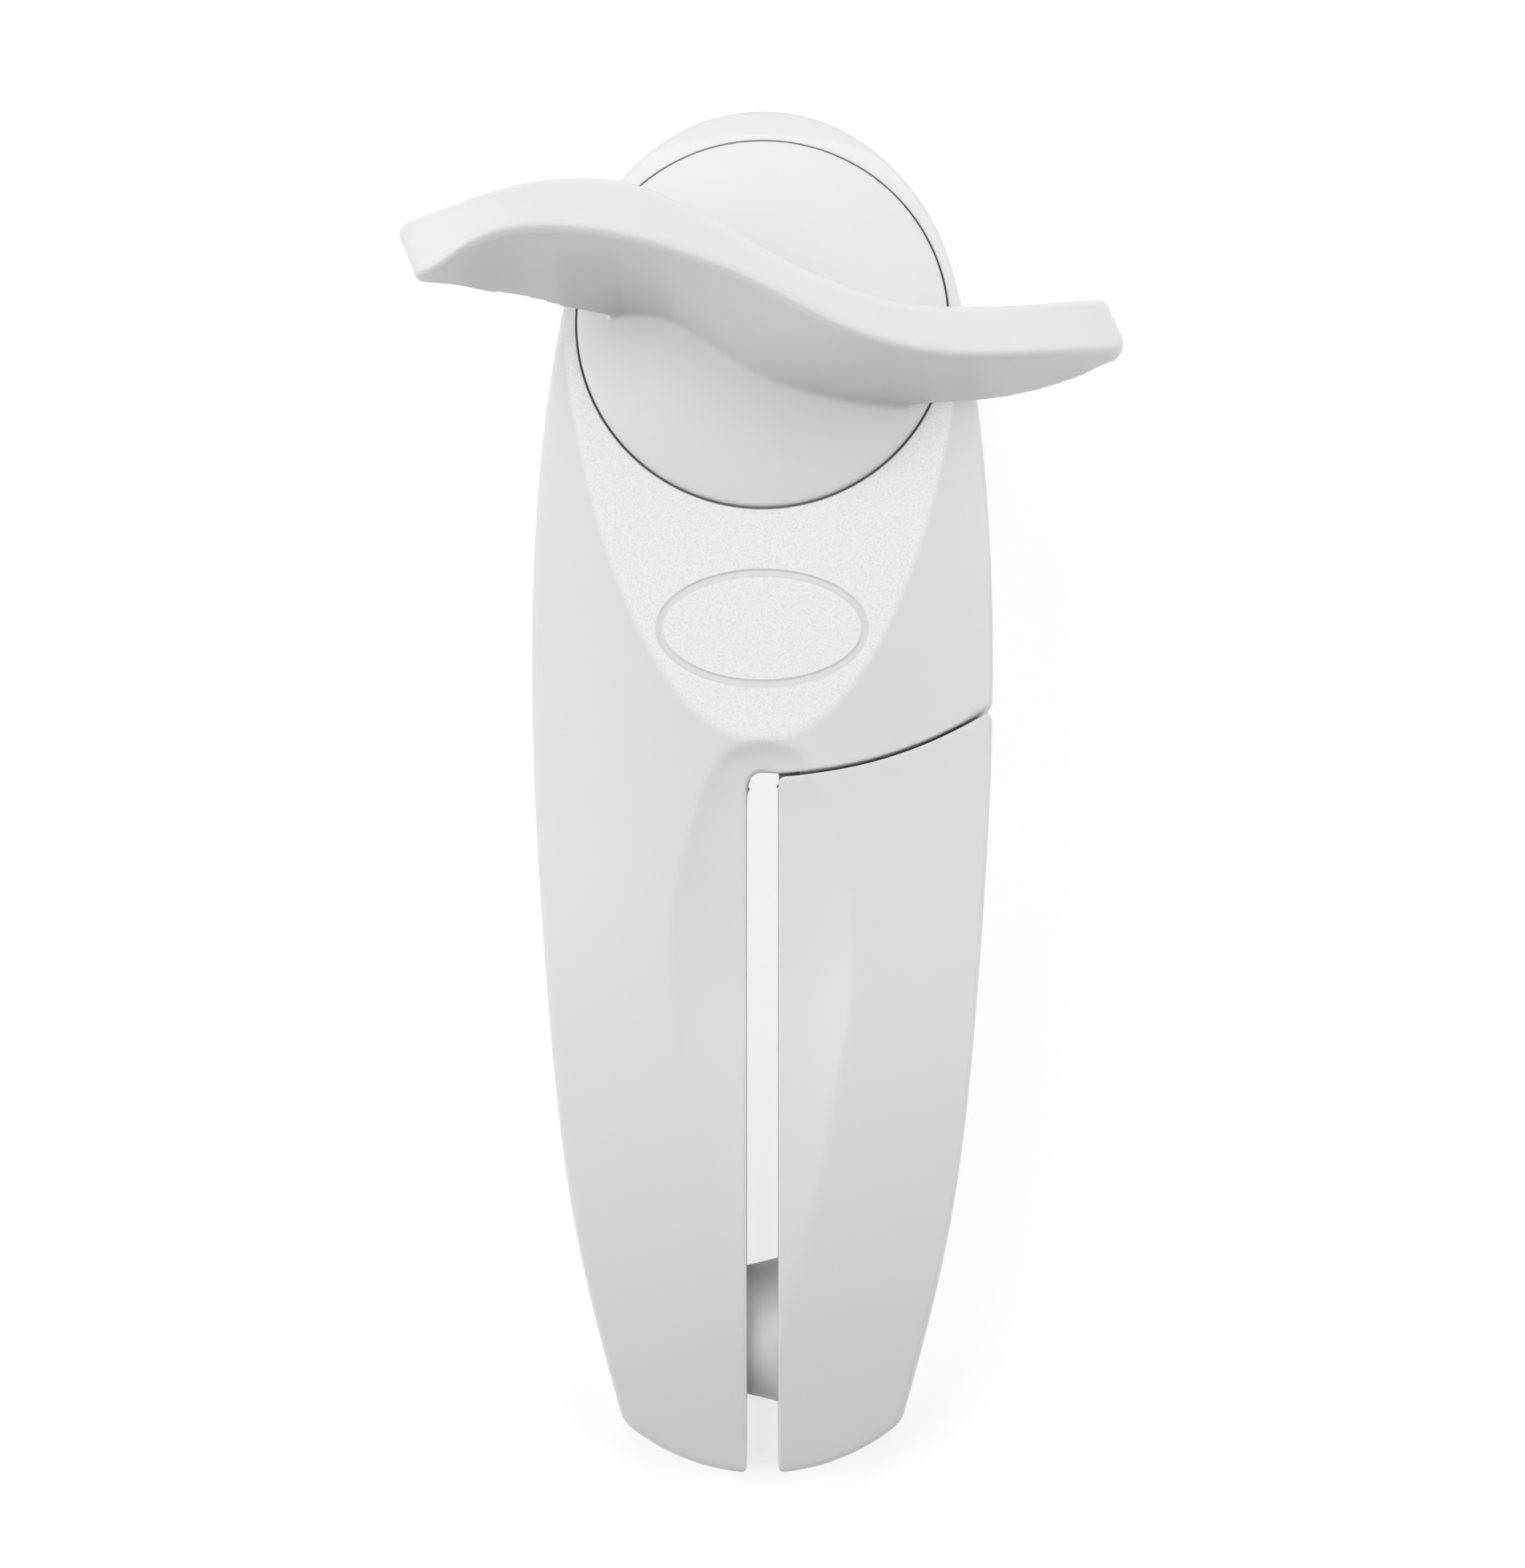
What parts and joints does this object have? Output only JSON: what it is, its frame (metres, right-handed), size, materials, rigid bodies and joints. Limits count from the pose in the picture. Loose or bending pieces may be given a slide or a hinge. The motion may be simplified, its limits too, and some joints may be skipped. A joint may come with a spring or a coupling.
{
  "type": "manual can opener",
  "caption": "Side-cutting manual can opener with a head on the left handle, a swinging right handle and a round knob with an S-shaped turning wing.",
  "frame": {"origin": "on the axis of the knob and feed wheel, at the end face of the feed wheel's screw, level with the surface that the opener lies on", "axes": "+Z along that axis towards the knob, +Y towards the head, -Y towards the handle ends, +X towards the lever"},
  "size_m": [0.096, 0.1903, 0.0677],
  "materials": {
    "body_moulding": "satin moulded white, finely grained on the front panel",
    "knob_moulding": "satin moulded white",
    "lug_moulding": "satin moulded pale grey",
    "plate_steel": "brushed sheet",
    "shaft_steel": "turned bar",
    "wheel_steel": "machined and hardened",
    "blade_steel": "ground and hardened",
    "bush_nylon": "dark self-lubricating plastic",
    "bush_bronze": "sintered bronze",
    "washer_steel": "spring steel",
    "screw_steel": "zinc-plated"
  },
  "bodies": {
    "body": {"front_housing": "body_moulding", "rear_cover": "body_moulding", "base_plate": "plate_steel", "upper_bush": "bush_nylon", "lower_bush": "bush_nylon", "pivot_pin": "shaft_steel", "pivot_washer": "washer_steel", "plate_screws": "screw_steel", "housing_screws": "screw_steel"},
    "knob_assembly": {"knob": "knob_moulding", "drive_shaft": "shaft_steel", "shaft_clip": "washer_steel", "thrust_washer": "washer_steel", "feed_wheel": "wheel_steel", "feed_screw": "screw_steel"},
    "lever": {"lever_front_shell": "body_moulding", "lever_back_cover": "body_moulding", "lever_arm_plate": "plate_steel", "pivot_bush": "bush_bronze", "stop_lug": "lug_moulding", "lever_screws": "screw_steel", "cutter_axle": "shaft_steel", "cutter_washer": "washer_steel", "cutter_clip": "washer_steel"},
    "cutter": {"cutter_wheel": "blade_steel"}
  },
  "joints": [
    {"name": "knob_turn", "type": "hinge", "parent": "body", "child": "knob_assembly", "pos_m": [0, 0, 0.035], "axis": [0, 0, 1], "continuous": true},
    {"name": "lever_swing", "type": "hinge", "parent": "body", "child": "lever", "pos_m": [0.007, 0.017, 0.0128], "axis": [0, 0, 1], "range_deg": [-1.1, 12]},
    {"name": "cutter_spin", "type": "hinge", "parent": "lever", "child": "cutter", "pos_m": [0.0162, 0, 0.0033], "axis": [0, 0, 1], "continuous": true}
  ]
}
